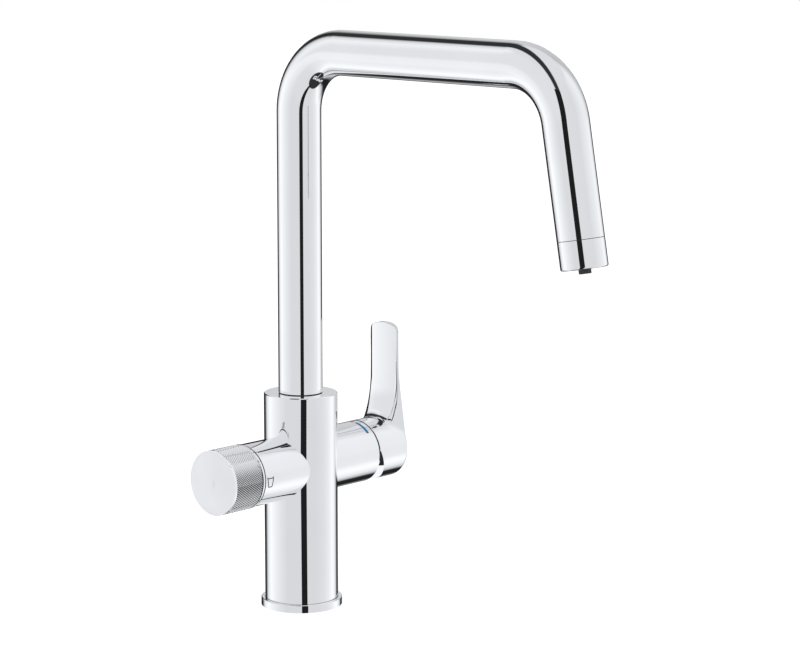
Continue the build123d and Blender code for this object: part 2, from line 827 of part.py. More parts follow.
def blade_section(rise):
    """Inner face, outer edge, its half width, the crown and the edge rounding at a height."""
    z = blade_root + rise
    below_bend = max(blade_bend_z - z, 0)
    inner_x = blade_inner_x - blade_bend_r + sqrt(blade_bend_r**2 - below_bend**2)
    side_x = blade_side_x - blade_lean * rise / (blade_top - blade_root)
    # The flare is an arc down to its full slope and straight below that
    below_flare = max(blade_flare_z - z, 0)
    arc_end = blade_flare_r * sin(atan(blade_flare_slope))
    on_arc = min(below_flare, arc_end)
    flare = blade_flare_r - sqrt(blade_flare_r**2 - on_arc**2)
    flare += blade_flare_slope * (below_flare - on_arc)
    crown_turn = radians(90 * min(rise / blade_crown_rise, 1))
    crown = blade_crown_root + (blade_crown - blade_crown_root) * sin(crown_turn)
    edge_r = min(blade_edge_r, blade_edge_share * (side_x - inner_x))
    return inner_x, side_x, blade_half_w + flare, crown, edge_r


# Handle: a round cap with a slanted rim over the arm, and a curved blade above it
grip_z = arm_z + (grip_x - pivot_x) * tan(tilt)
grip_line = Plane(origin=(grip_x, 0, grip_z), x_dir=(0, 1, 0), z_dir=(1, 0, 0))
cap_rim_up = rim_break_z - arm_z
with BuildPart() as handle:
    with BuildSketch(mixer_line):
        with BuildLine():
            side = Polyline((cap_start, 0), (cap_start, cap_r), (cap_shoulder - cap_round, cap_r))
            shoulder = (cap_shoulder, cap_r - cap_round)
            TangentArc(side @ 1, shoulder, tangent=(1, 0))
            TangentArc((cap_end, 0), shoulder, tangent=(0, 1))
            Line((cap_end, 0), (cap_start, 0))
        make_face()
    revolve(axis=Axis(mixer_line.origin, mixer_line.x_dir))
    for step in range(blade_sections):
        rise = (blade_top + overrun - blade_root) * step / (blade_sections - 1)
        inner_x, side_x, side_w, crown, edge_r = blade_section(rise)
        with BuildSketch(Plane.XY.offset(blade_root + rise)):
            with BuildLine():
                near, far = (inner_x, -blade_half_w), (inner_x, blade_half_w)
                Line((side_x, -side_w), near)
                ThreePointArc(near, (inner_x - blade_bulge, 0), far)
                Line(far, (side_x, side_w))
                ThreePointArc((side_x, side_w), (side_x + crown, 0), (side_x, -side_w))
            make_face()
            fillet(vertices().group_by(Axis.X)[0], edge_r)
    loft()
    # Arched top of the blade, with rounded corners
    arch_z = blade_top - blade_arch_r
    corner_y = blade_half_w - blade_corner
    corner_z = arch_z + sqrt((blade_arch_r - blade_corner) ** 2 - corner_y**2)
    reach = blade_arch_r / (blade_arch_r - blade_corner)
    arch_y, arch_end_z = corner_y * reach, arch_z + (corner_z - arch_z) * reach
    with BuildSketch(Plane.YZ.offset(cap_start)):
        with BuildLine():
            ThreePointArc((-arch_y, arch_end_z), (0, blade_top), (arch_y, arch_end_z))
            TangentArc((blade_half_w, corner_z), (arch_y, arch_end_z), tangent=(0, 1))
            TangentArc((-blade_half_w, corner_z), (-arch_y, arch_end_z), tangent=(0, 1))
            Polyline(
                (blade_half_w, corner_z),
                (2 * blade_half_w, corner_z),
                (2 * blade_half_w, 2 * blade_top),
                (-2 * blade_half_w, 2 * blade_top),
                (-2 * blade_half_w, corner_z),
                (-blade_half_w, corner_z),
            )
        make_face()
    extrude(amount=2 * (cap_end - cap_start), mode=Mode.SUBTRACT)
    # Slanted rim, which leaves room for the lift
    with BuildSketch(mixer_line):
        with BuildLine():
            low_up = -cap_r - overrun
            Polyline(
                (cap_start, cap_rim_up),
                (cap_start + (cap_rim_up - low_up) * tan(radians(rim_slant)), low_up),
                (cap_start - overrun, low_up),
                (cap_start - overrun, cap_rim_up),
                close=True,
            )
        make_face()
    extrude(amount=cap_r + overrun, both=True, mode=Mode.SUBTRACT)
    drill(mixer_line, cap_start, cap_cavity_end, cap_cavity_r)
    # Square socket for the stem and the hole of the grip screw
    with BuildSketch(across(stem_line, 0)):
        Rectangle(stem_w + 2 * socket_play, stem_w + 2 * socket_play)
    extrude(amount=stem_out + socket_play, mode=Mode.SUBTRACT)
    drill(grip_line, 0, cap_r + overrun, grip_screw_r)
save(handle, "lever_handle")

with BuildPart() as grip_screw:
    screw_start = stem_w / 2 + seal_gap
    bar(grip_line, screw_start, screw_start + grip_screw_len, grip_screw_r - seal_gap)
    with BuildSketch(across(grip_line, screw_start + grip_screw_len)):
        RegularPolygon(stop_key / 2, 6, major_radius=False)
    extrude(amount=-stop_key_depth, mode=Mode.SUBTRACT)
save(grip_screw, "grip_screw")

with BuildPart() as grip_plug:
    plug_end = cap_r - grip_plug_sink
    bar(grip_line, plug_end - grip_plug_t, plug_end, grip_screw_r - seat_gap)
save(grip_plug, "grip_plug")

# Headpart for filtered water: seal, fixed and turning ceramic discs, shell, spindle
with BuildPart() as seat_seal:
    ring(filter_line, seat_floor, head_start, seat_seal_bore_r, head_nose_r - slide_gap)
save(seat_seal, "headpart_seat_seal")

with BuildPart() as fixed_quarter_disc:
    bar(filter_line, head_start, rotor_start, head_chamber_r - seat_gap)
    for side in (-quarter_port_at, quarter_port_at):
        drill(filter_line, head_start, rotor_start, quarter_port_r, 0, side)
save(fixed_quarter_disc, "headpart_fixed_disc")

with BuildPart() as turning_quarter_disc:
    bar(filter_line, rotor_start, fork_start, head_chamber_r - running)
    for up in (-quarter_port_at, quarter_port_at):
        drill(filter_line, rotor_start, fork_start, quarter_port_r, up, 0)
    with Locations(across(filter_line, fork_start)):
        with Locations((0, head_chamber_r), (0, -head_chamber_r)):
            Box(
                fork_lug_w + 2 * seat_gap,
                2 * (fork_lug_t + slide_gap + seat_gap),
                2 * (fork_lug_len + seat_gap),
                mode=Mode.SUBTRACT,
            )
save(turning_quarter_disc, "headpart_turning_disc")

with BuildPart() as headpart:
    turned(
        filter_line,
        (head_start, head_chamber_r),
        (head_start, head_nose_r),
        (head_nose_end, head_nose_r),
        (head_nose_end, head_thread_r),
        (head_hex_start, head_thread_r),
        (head_hex_start, head_neck_r),
        (head_end, head_neck_r),
        (head_end, spindle_bore_r),
        (fork_end + slide_gap, spindle_bore_r),
        (fork_end + slide_gap, head_chamber_r),
    )
    with BuildSketch(across(filter_line, head_hex_start)):
        RegularPolygon(head_hex / 2, 6, major_radius=False)
        Circle(head_neck_r, mode=Mode.SUBTRACT)
    extrude(amount=head_hex_len)
    with Locations(across(filter_line, (fork_start + fork_end) / 2)):
        with Locations(Rotation(90, 0, 0), Rotation(0, 90, 0)):
            Cylinder(head_window_r, 2 * (head_nose_r + overrun), mode=Mode.SUBTRACT)
save(headpart, "headpart_shell")

with BuildPart() as head_seal:
    ring(filter_line, head_bore_end, head_hex_start, head_bore_r, head_hex / 2)
save(head_seal, "headpart_flange_seal")

with BuildPart() as spindle:
    with BuildSketch(across(filter_line, fork_start)):
        Circle(head_chamber_r - slide_gap)
        Rectangle(fork_w, 2 * head_chamber_r, mode=Mode.INTERSECT)
    extrude(amount=fork_t)
    with Locations(across(filter_line, fork_start)):
        lug_y = head_chamber_r - slide_gap - fork_lug_t / 2
        with Locations((0, lug_y), (0, -lug_y)):
            Box(fork_lug_w, fork_lug_t, 2 * fork_lug_len)
    with BuildSketch(across(filter_line, fork_start - fork_lug_len)):
        Circle(2 * head_chamber_r)
        Circle(head_chamber_r - slide_gap, mode=Mode.SUBTRACT)
    extrude(amount=fork_lug_len + fork_t, mode=Mode.SUBTRACT)
    bar(filter_line, fork_start, spindle_end, spindle_r)
    for seal_x in spindle_seal_at:
        groove(filter_line, seal_x, seal_x + spindle_seal_h, spindle_seal_r, spindle_r)
    groove(filter_line, clip_at, clip_at + clip_t, clip_groove_r, spindle_r)
    with BuildSketch(across(filter_line, hub_start)):
        with Locations((spindle_flat, 0)):
            Rectangle(spindle_r, 2 * spindle_r, align=(Align.MIN, Align.CENTER))
    extrude(amount=spindle_end - hub_start, mode=Mode.SUBTRACT)
    drill(filter_line, hub_end - knob_screw_len - overrun, spindle_end, knob_screw_r)
save(spindle, "filter_spindle")

with BuildPart() as spindle_seals:
    for seal_x in spindle_seal_at:
        seal_end = seal_x + spindle_seal_h - seal_gap
        ring(filter_line, seal_x + seal_gap, seal_end, spindle_seal_r + seal_gap, spindle_bore_r - seal_gap)
save(spindle_seals, "spindle_seals")

with BuildPart() as clip:
    ring(filter_line, clip_at + seal_gap, clip_at + clip_t - seal_gap, clip_groove_r + seal_gap, clip_r)
    with Locations(across(filter_line, clip_at, clip_r)):
        Box(2 * clip_r, clip_gap, 3 * clip_t, mode=Mode.SUBTRACT)
save(clip, "spindle_clip")

# Knob: hub on the spindle, knurled sleeve around it, screw and domed face
with BuildPart() as hub:
    turned(
        filter_line,
        (hub_start, 0),
        (hub_start, hub_r),
        (hub_flange_start, hub_r),
        (hub_flange_start, knob_bore_r - seat_gap),
        (hub_end, knob_bore_r - seat_gap),
        (hub_end, 0),
    )
    with BuildSketch(across(filter_line, hub_start)):
        Circle(hub_bore_r)
        with Locations((spindle_flat + seat_gap, 0)):
            Rectangle(
                spindle_r, 3 * spindle_r, align=(Align.MIN, Align.CENTER), mode=Mode.SUBTRACT
            )
    extrude(amount=spindle_end + seat_gap - hub_start, mode=Mode.SUBTRACT)
    drill(filter_line, hub_start, hub_end, knob_screw_r + slide_gap)
save(hub, "knob_hub")

with BuildPart() as knob_sleeve:
    turned(
        filter_line,
        (knob_start, knob_bore_r),
        (knob_start, knob_r),
        (knob_start + knob_band, knob_r),
        (knob_start + knob_band, knob_r - knurl_depth),
        (knob_end - knob_band, knob_r - knurl_depth),
        (knob_end - knob_band, knob_r),
        (knob_end, knob_r),
        (knob_end, face_r + face_rebate),
        (face_start, face_r + face_rebate),
        (face_start, knob_bore_r),
        (hub_flange_start, knob_bore_r),
        (hub_flange_start, knob_rib_r),
        (knob_rib_at, knob_rib_r),
        (knob_rib_at, knob_bore_r),
    )
save(knob_sleeve, "knob_sleeve")

with BuildPart() as knob_screw:
    bar(filter_line, hub_end - knob_screw_len, hub_end, knob_screw_r - seal_gap)
    bar(filter_line, hub_end, hub_end + knob_screw_head_h, knob_screw_head_r)
    with BuildSketch(across(filter_line, hub_end + knob_screw_head_h)):
        RegularPolygon(stop_key / 2, 6, major_radius=False)
    extrude(amount=-knob_screw_head_h / 2, mode=Mode.SUBTRACT)
save(knob_screw, "knob_screw")

with BuildPart() as face:
    with BuildSketch(filter_line):
        with BuildLine():
            Polyline((knob_end + face_dome, 0), (face_start, 0), (face_start, face_r), (knob_end, face_r))
            TangentArc((knob_end + face_dome, 0), (knob_end, face_r), tangent=(0, 1))
        make_face()
    revolve(axis=Axis(filter_line.origin, filter_line.x_dir))
save(face, "knob_face")
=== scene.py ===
from math import acos, atan, atan2, ceil, cos, pi, radians, sin, sqrt, tan

import bpy
from mathutils import Matrix, Vector


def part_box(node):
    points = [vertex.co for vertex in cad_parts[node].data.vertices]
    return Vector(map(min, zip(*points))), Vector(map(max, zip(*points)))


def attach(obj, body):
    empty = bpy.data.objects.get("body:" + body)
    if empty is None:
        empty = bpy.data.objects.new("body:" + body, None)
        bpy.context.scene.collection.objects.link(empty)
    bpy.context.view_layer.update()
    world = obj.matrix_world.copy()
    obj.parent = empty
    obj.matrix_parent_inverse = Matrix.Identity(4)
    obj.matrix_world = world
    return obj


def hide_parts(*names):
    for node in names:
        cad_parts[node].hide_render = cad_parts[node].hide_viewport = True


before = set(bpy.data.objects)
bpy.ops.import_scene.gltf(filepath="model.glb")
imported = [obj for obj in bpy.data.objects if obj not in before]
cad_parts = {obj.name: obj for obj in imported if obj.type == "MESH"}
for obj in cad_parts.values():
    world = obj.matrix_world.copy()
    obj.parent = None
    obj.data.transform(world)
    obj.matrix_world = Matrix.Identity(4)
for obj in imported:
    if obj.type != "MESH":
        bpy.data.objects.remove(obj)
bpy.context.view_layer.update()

# Places and sizes read from the frame, in metres
MM = 0.001
column_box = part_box("column")
arm_end_left, arm_end_right = column_box[0].x, column_box[1].x
cover_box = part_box("arm_cover_disc")
arm_z = (cover_box[0].z + cover_box[1].z) / 2
sleeve_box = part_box("knob_sleeve")
knob_r = (sleeve_box[1].z - sleeve_box[0].z) / 2

# Radius of both arms, as in the solids
arm_r = 20.0 * MM

# Knurled sleeve of the knob
knurl_ridges, knurl_rows = 88, 22
knurl_depth = 0.46 * MM
knurl_band = 1.2 * MM
sleeve_edge = 0.15 * MM
sleeve_bore_r = 18.2 * MM
sleeve_rebate_r, sleeve_rebate = 19.65 * MM, 2.0 * MM
sleeve_sharp = radians(30)

# Painted shade in its valleys, darkest on the side that faces the worktop: the share of the depth left
# unshaded, the colour of the shade, and the heights over the arms' axis from no shade to full shade
knurl_unshaded_share = 0.35
knurl_painted_shade = (0.07, 0.07, 0.072)
knurl_painted_shade_heights = (14.0 * MM, 3.0 * MM)
knurl_painted_shade_edge = 0.1 * MM

# Marks on the arms, and the lines of painted shade laid the same way: distances along an arm, and turns about
# it from its top towards the front
ribbon_lift, ribbon_step = 0.05 * MM, 0.5 * MM
arc_steps = 16
heat_mark_x, heat_mark_w = 47.6 * MM, 2.0 * MM
heat_mark_turns = (radians(2.5), radians(38))
heat_mark_shift = radians(6)
tumbler_x = -46.95 * MM
tumbler_rim_w, tumbler_foot_w = 5.1 * MM, 3.1 * MM
tumbler_up, tumbler_down = 2.0 * MM, 4.5 * MM
tumbler_water = 1.1 * MM
tumbler_line = 0.6 * MM
tumbler_round, round_steps = 0.7 * MM, 5

# Painted shade: a dark line drawn at the gap of each arm's end
gap_shade_w = 0.8 * MM
lever_gap_turn = radians(100)

# Painted shade in the spout's two thin seams, at its foot and over the outlet sleeve: places and sizes of the
# solids
column_top, washer_t, washer_shade_r = 138.0 * MM, 0.5 * MM, 13.75 * MM
spout_reach, spout_z = 209.0 * MM, 354.5 * MM
leg_len, leg_lean = 116.2 * MM, radians(10.3)
outlet_sleeve_len, seam_gap, seam_shade_r = 16.9 * MM, 0.35 * MM, 13.9 * MM
seam_steps = 64

# Blade of the handle, in millimetres: its solid's sizes, with sharper edges high up and a higher top
cap_r = 20.1
cap_shoulder_x = 77.7
cap_round = 2.0
blade_root = 98.0
blade_top, blade_solid_top = 173.4, 172.5
blade_arch_r, blade_corner = 26.0, 3.0
blade_inner_x = 77.75
blade_bend_z, blade_bend_r = 136.0, 53.0
blade_half_w = 12.1
blade_flare_z, blade_flare_r, blade_flare_slope = 146.0, 100.0, 0.14
blade_side_x, blade_lean = 79.45, 0.9
blade_bulge = 1.1
blade_crown_root, blade_crown, blade_crown_rise = 0.75, 2.5, 50.0
blade_edge_r, blade_edge_root_r = 1.2, 4.5
blade_edge_share, blade_flank_share, least_tan = 0.6, 0.9, 0.001
blade_sharp = radians(40)

# How far the blade lies outside its solid, the heights between which its back comes out of the solid,
# and the heights between which its edge grows rounder
blade_skin = 0.05
blade_back_out = (150.0, 160.0)
blade_edge_turn = (130.0, 114.0)

# Strips over the height of the blade, and across its back, flank, edge and face
blade_rows, blade_corner_rows, blade_arch_rows = 44, 6, 14
blade_strips = (12, 6, 12, 16)

# Hollow rounding between blade and cap: its radii, in millimetres, and its strips over flank, edge and face
root_face_r, root_side_r, root_end_r = 8.0, 8.0, 3.0
root_sink = 0.02
root_steps = 14
root_strips = (12, 10, 14)
root_sharp = radians(50)

# Camera: place and aim fitted to the photograph
camera_place = (-1249.49 * MM, -1235.0 * MM, 478.65 * MM)
camera_yaw = radians(47.3926)
camera_pitch = radians(9.6216)
camera_roll = radians(0.0195)
focal_px = 2816.95
image_width = 800
sensor_mm = 36.0

# Looks: dark and light colour, patches a metre, range of roughness, metal, depth and fineness of the grain
chrome_look = ((0.925, 0.93, 0.94), (0.955, 0.96, 0.97), 25, (0.005, 0.015), 1.0)
looks = {
    "chrome_plate": chrome_look,
    "satin_chrome": ((0.86, 0.865, 0.875), (0.90, 0.905, 0.915), 60, (0.30, 0.36), 1.0, 4e-6, 6000),
    "brass": ((0.62, 0.42, 0.17), (0.70, 0.49, 0.22), 120, (0.22, 0.34), 1.0, 6e-6, 3000),
    "steel": ((0.50, 0.50, 0.51), (0.60, 0.60, 0.61), 150, (0.22, 0.34), 1.0, 5e-6, 4000),
    "ceramic": ((0.86, 0.85, 0.82), (0.92, 0.91, 0.88), 80, (0.12, 0.20)),
    "rubber": ((0.018, 0.018, 0.018), (0.035, 0.035, 0.035), 300, (0.62, 0.78), 0.0, 1e-5, 5000),
    "white_plastic": ((0.78, 0.78, 0.76), (0.84, 0.84, 0.82), 90, (0.38, 0.48), 0.0, 4e-6, 2000),
    "grey_plastic": ((0.055, 0.057, 0.058), (0.085, 0.087, 0.088), 400, (0.42, 0.58), 0.0, 8e-6, 2000),
}
mottle_stops = (0.3, 0.7)
noise_detail, noise_roughness = 3.0, 0.5
mark_colours = {
    "mark_red": (0.56, 0.03, 0.045),
    "mark_blue": (0.006, 0.20, 0.42),
    "mark_grey": (0.05, 0.05, 0.055),
}
mark_darkest = 0.85
mark_patches, mark_roughness = 900, (0.30, 0.42)
mark_shine = 0.15

# Studio tent, as the chrome sees it: how bright it is by compass angle from the camera's side, in degrees,
# over the tap, level with it and under it
view_azimuth = 45.0
tent_above = (
    (-180, 0.62),
    (-175, 0.45),
    (-169, 0.18),
    (-164, 0.02),
    (-147, 0.02),
    (-141, 0.26),
    (-136, 0.56),
    (-130, 0.70),
    (-122, 0.80),
    (-112, 0.88),
    (-103, 0.82),
    (-96, 0.76),
    (50, 0.70),
    (90, 0.83),
    (112, 0.86),
    (128, 0.72),
    (140, 0.50),
    (170, 0.58),
    (180, 0.62),
)
tent_belt = (
    (-180, 0.02),
    (-149, 0.02),
    (-143, 0.15),
    (-135, 0.60),
    (-128, 0.82),
    (-112, 1.00),
    (-95, 0.90),
    (-70, 0.78),
    (-45, 0.69),
    (45, 0.69),
    (75, 0.74),
    (95, 0.83),
    (115, 0.99),
    (128, 0.86),
    (136, 0.66),
    (143, 0.20),
    (149, 0.02),
    (180, 0.02),
)
tent_below = (
    (-180, 0.60),
    (-174, 0.40),
    (-167, 0.08),
    (-162, 0.02),
    (-146, 0.02),
    (-140, 0.12),
    (-134, 0.42),
    (-129, 0.64),
    (-124, 0.88),
    (-113, 1.00),
    (-98, 0.86),
    (-70, 0.72),
    (50, 0.70),
    (85, 0.80),
    (103, 1.00),
    (118, 0.84),
    (132, 0.50),
    (140, 0.05),
    (144, 0.015),
    (164, 0.015),
    (172, 0.25),
    (180, 0.60),
)

# Its dark foot and grey crown, and the heights, as sines, between which each part fades in
tent_foot, tent_crown = 0.03, 0.72
above_heights = (-0.05, 0.18)
below_heights = (-0.30, -0.50)
foot_heights = (-0.90, -0.92)
crown_heights = (0.76, 0.84)

# Dark slot in its roof: its slant, offset, taper and soft edges across, and the heights where it fades in
slot_slant, slot_offset, slot_taper = 0.11, 0.205, 0.02
slot_edges = (0.17, 0.11)
slot_heights = (0.59, 0.62)
tent_tint = (0.985, 1.0, 1.025)
tent_gain = 1.06
ambient = 0.95

# Dark flags, in metres: one before the tap, for the stripe in the chrome, and one behind the handle's blade
flag_place = (-0.284, -0.390)
flag_width = 0.150
flag_low, flag_high = -1.00, 0.60
card_left, card_right, card_back = 0.022, 0.102, 0.110
card_low, card_high = 0.105, 0.156
flag_glow = 0.014

# Floor and key light
floor_reach = 4.0
floor_grey, floor_roughness, floor_glow = 0.62, 0.9, 0.55
key_power, key_size = 6.0, 1.2
key_place, key_aim = (-0.9, -0.5, 1.6), (0, 0, 0.15)


def node(tree, kind, **settings):
    """A new shader node with these settings."""
    made = tree.nodes.new(kind)
    for name, value in settings.items():
        setattr(made, name, value)
    return made


def link(tree, *pairs):
    """Links each pair of sockets."""
    for source, target in pairs:
        tree.links.new(source, target)


def math_node(tree, operation, *values):
    """A Math node: numbers fill its sockets and sockets are linked to it."""
    made = node(tree, "ShaderNodeMath", operation=operation)
    for place, value in enumerate(values):
        if isinstance(value, (int, float)):
            made.inputs[place].default_value = value
        else:
            link(tree, (value, made.inputs[place]))
    return made.outputs[0]


def ramp(tree, factor, stops):
    """A colour ramp over (position, colour) stops."""
    made = node(tree, "ShaderNodeValToRGB")
    elements = made.color_ramp.elements
    while len(elements) < len(stops):
        elements.new(0.5)
    for element, (position, colour) in zip(elements, stops):
        element.position = position
        element.color = (*colour, 1.0)
    link(tree, (factor, made.inputs["Fac"]))
    return made.outputs["Color"]


def step_in(tree, height, ends):
    """0 at the first height, 1 at the second, smooth between."""
    made = node(tree, "ShaderNodeMapRange", interpolation_type="SMOOTHSTEP")
    if ends[0] < ends[1]:
        made.inputs["From Min"].default_value, made.inputs["From Max"].default_value = ends
    else:
        made.inputs["From Min"].default_value, made.inputs["From Max"].default_value = ends[1], ends[0]
        made.inputs["To Min"].default_value, made.inputs["To Max"].default_value = 1.0, 0.0
    link(tree, (height, made.inputs["Value"]))
    return made.outputs["Result"]


def blend(tree, share, first, second):
    """A mix of two colours, each a socket or a plain colour."""
    made = node(tree, "ShaderNodeMix", data_type="RGBA")
    link(tree, (share, made.inputs["Factor"]))
    for colour, place in ((first, "A"), (second, "B")):
        socket = next(i for i in made.inputs if i.name == place and i.type == "RGBA")
        if isinstance(colour, tuple):
            socket.default_value = (*colour, 1.0)
        else:
            link(tree, (colour, socket))
    return next(o for o in made.outputs if o.type == "RGBA")


def new_material(name):
    """A node material with an empty Principled shader: (material, tree, shader)."""
    material = bpy.data.materials.new(name)
    material.use_nodes = True
    tree = material.node_tree
    tree.nodes.clear()
    shader = node(tree, "ShaderNodeBsdfPrincipled")
    output = node(tree, "ShaderNodeOutputMaterial")
    link(tree, (shader.outputs["BSDF"], output.inputs["Surface"]))
    return material, tree, shader


def noise(tree, scale):
    """Noise in the object's own place, with this many features a metre."""
    place = node(tree, "ShaderNodeTexCoord").outputs["Object"]
    made = node(tree, "ShaderNodeTexNoise")
    made.inputs["Scale"].default_value = scale
    made.inputs["Detail"].default_value = noise_detail
    made.inputs["Roughness"].default_value = noise_roughness
    link(tree, (place, made.inputs["Vector"]))
    return made.outputs["Fac"]


def grey_range(tree, factor, low, high):
    """Maps a factor of 0 to 1 to a number from low to high."""
    made = node(tree, "ShaderNodeMapRange")
    made.inputs["To Min"].default_value = low
    made.inputs["To Max"].default_value = high
    link(tree, (factor, made.inputs["Value"]))
    return made.outputs["Result"]


def bump(tree, shader, height, depth):
    """Raises the surface by a height factor, depth in metres."""
    made = node(tree, "ShaderNodeBump")
    made.inputs["Distance"].default_value = depth
    link(tree, (height, made.inputs["Height"]), (made.outputs["Normal"], shader.inputs["Normal"]))


def mottled(name, low, high, scale, roughness, metallic=0.0, grain=0.0, grain_scale=0):
    """A material whose colour and roughness drift a little, with a fine grain."""
    material, tree, shader = new_material(name)
    stops = tuple(zip(mottle_stops, (low, high)))
    link(tree, (ramp(tree, noise(tree, scale), stops), shader.inputs["Base Color"]))
    rough = grey_range(tree, noise(tree, scale * 3), *roughness)
    link(tree, (rough, shader.inputs["Roughness"]))
    shader.inputs["Metallic"].default_value = metallic
    if grain:
        bump(tree, shader, noise(tree, grain_scale), grain)
    return material


def knurl_chrome_painted_shade():
    """Chrome for the knurl, with painted shade: its valleys are darker, most of all on the side that faces the
    worktop.
    """
    material = mottled("knurl_chrome_painted_shade", *chrome_look)
    tree = material.node_tree
    shader = tree.nodes["Principled BSDF"]
    split = node(tree, "ShaderNodeSeparateXYZ")
    link(tree, (node(tree, "ShaderNodeNewGeometry").outputs["Position"], split.inputs["Vector"]))
    up = math_node(tree, "SUBTRACT", split.outputs["Z"], arm_z)
    squares = [math_node(tree, "POWER", way, 2.0) for way in (split.outputs["Y"], up)]
    out = math_node(tree, "SQRT", math_node(tree, "ADD", *squares))
    depth = step_in(tree, out, (knob_r - knurl_unshaded_share * knurl_depth, knob_r - knurl_depth))
    # Painted shade: the base colour darkens towards the valleys and towards the knurl's lower side
    shade = math_node(tree, "MULTIPLY", depth, step_in(tree, up, knurl_painted_shade_heights))
    for end, inward in ((sleeve_box[0].x + knurl_band, 1), (sleeve_box[1].x - knurl_band, -1)):
        inside = step_in(tree, split.outputs["X"], (end - inward * knurl_painted_shade_edge, end))
        shade = math_node(tree, "MULTIPLY", shade, inside)
    plain = shader.inputs["Base Color"].links[0].from_socket
    link(tree, (blend(tree, shade, plain, knurl_painted_shade), shader.inputs["Base Color"]))
    return material


def make_materials():
    """One material for each of the record's slots, the knurl's chrome with its painted shade, and the colours
    of the marks.
    """
    made = {name: mottled(name, *look) for name, look in looks.items()}
    made["knurl_chrome_painted_shade"] = knurl_chrome_painted_shade()
    for name, colour in mark_colours.items():
        darker = tuple(mark_darkest * c for c in colour)
        made[name] = mottled(name, darker, colour, mark_patches, mark_roughness)
        shader = made[name].node_tree.nodes["Principled BSDF"]
        shader.inputs["Specular IOR Level"].default_value = mark_shine
    return made


def dress_frame(materials):
    """Gives every CAD node the material of its slot."""
    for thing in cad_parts.values():
        for place in thing.material_slots:
            place.material = materials[place.material.name.split(".")[0]]


def tent_colour(grey):
    """A grey of the tent with its tint."""
    return tuple(grey * t for t in tent_tint)


def tent_ramp(tree, share, stops):
    """The tent's light round the compass at one height."""
    return ramp(tree, share, [((angle + 180) / 360, tent_colour(grey)) for angle, grey in stops])


def background(tree, colour, strength):
    """A Background shader of one colour, or of a linked one."""
    made = node(tree, "ShaderNodeBackground")
    made.inputs["Strength"].default_value = strength
    if isinstance(colour, tuple):
        made.inputs["Color"].default_value = (*colour, 1.0)
    else:
        link(tree, (colour, made.inputs["Color"]))
    return made.outputs[0]


def set_world():
    """White for the camera, even light for matt surfaces, and the studio tent for gloss."""
    world = bpy.data.worlds.new("studio")
    bpy.context.scene.world = world
    world.use_nodes = True
    tree = world.node_tree
    tree.nodes.clear()
    place = node(tree, "ShaderNodeTexCoord").outputs["Generated"]
    turned = node(tree, "ShaderNodeVectorRotate", rotation_type="Z_AXIS")
    turned.inputs["Angle"].default_value = radians(180 - view_azimuth)
    split = node(tree, "ShaderNodeSeparateXYZ")
    link(tree, (place, turned.inputs["Vector"]), (turned.outputs["Vector"], split.inputs["Vector"]))
    ahead, across, height = (split.outputs[axis] for axis in "XYZ")
    share = math_node(tree, "MULTIPLY_ADD", math_node(tree, "ARCTAN2", across, ahead), 1 / (2 * pi), 0.5)
    light = tent_ramp(tree, share, tent_belt)
    for stops, ends in ((tent_above, above_heights), (tent_below, below_heights)):
        light = blend(tree, step_in(tree, height, ends), light, tent_ramp(tree, share, stops))
    for grey, ends in ((tent_foot, foot_heights), (tent_crown, crown_heights)):
        light = blend(tree, step_in(tree, height, ends), light, tent_colour(grey))
    aside = math_node(tree, "MULTIPLY_ADD", ahead, -slot_slant, slot_offset)
    aside = math_node(tree, "ABSOLUTE", math_node(tree, "ADD", aside, across))
    aside = math_node(tree, "MULTIPLY_ADD", ahead, slot_taper, aside)
    slot = math_node(tree, "MULTIPLY", step_in(tree, aside, slot_edges), step_in(tree, height, slot_heights))
    light = blend(tree, slot, light, tent_colour(tent_foot))
    white = (1.0, 1.0, 1.0)
    rays = node(tree, "ShaderNodeLightPath")
    gloss = node(tree, "ShaderNodeMixShader")
    seen = node(tree, "ShaderNodeMixShader")
    output = node(tree, "ShaderNodeOutputWorld")
    link(
        tree,
        (rays.outputs["Is Glossy Ray"], gloss.inputs["Fac"]),
        (background(tree, white, ambient), gloss.inputs[1]),
        (background(tree, light, tent_gain), gloss.inputs[2]),
        (rays.outputs["Is Camera Ray"], seen.inputs["Fac"]),
        (gloss.outputs[0], seen.inputs[1]),
        (background(tree, white, 1.0), seen.inputs[2]),
        (seen.outputs[0], output.inputs["Surface"]),
    )


def mesh_object(name, points, faces, material):
    """A smooth mesh piece from points and faces."""
    mesh = bpy.data.meshes.new(name)
    mesh.from_pydata([tuple(p) for p in points], [], faces)
    mesh.materials.append(material)
    for face in mesh.polygons:
        face.use_smooth = True
    made = bpy.data.objects.new(name, mesh)
    bpy.context.scene.collection.objects.link(made)
    return made


def closed_rows(name, rows, material, sharp):
    """A closed piece over rows of points in millimetres, with a flat face at each end."""
    size = len(rows[0])
    points = [p * MM for row in rows for p in row]
    faces = [
        (i * size + j, i * size + (j + 1) % size, (i + 1) * size + (j + 1) % size, (i + 1) * size + j)
        for i in range(len(rows) - 1)
        for j in range(size)
    ]
    faces.append(tuple(range(size - 1, -1, -1)))
    faces.append(tuple((len(rows) - 1) * size + j for j in range(size)))
    made = mesh_object(name, points, faces, material)
    made.data.set_sharp_from_angle(angle=sharp)
    return made


def arm_point(x, turn, radius):
    """A place round the arms' axis; the turn is 0 at the top and grows towards the front."""
    return (x, -radius * sin(turn), arm_z + radius * cos(turn))


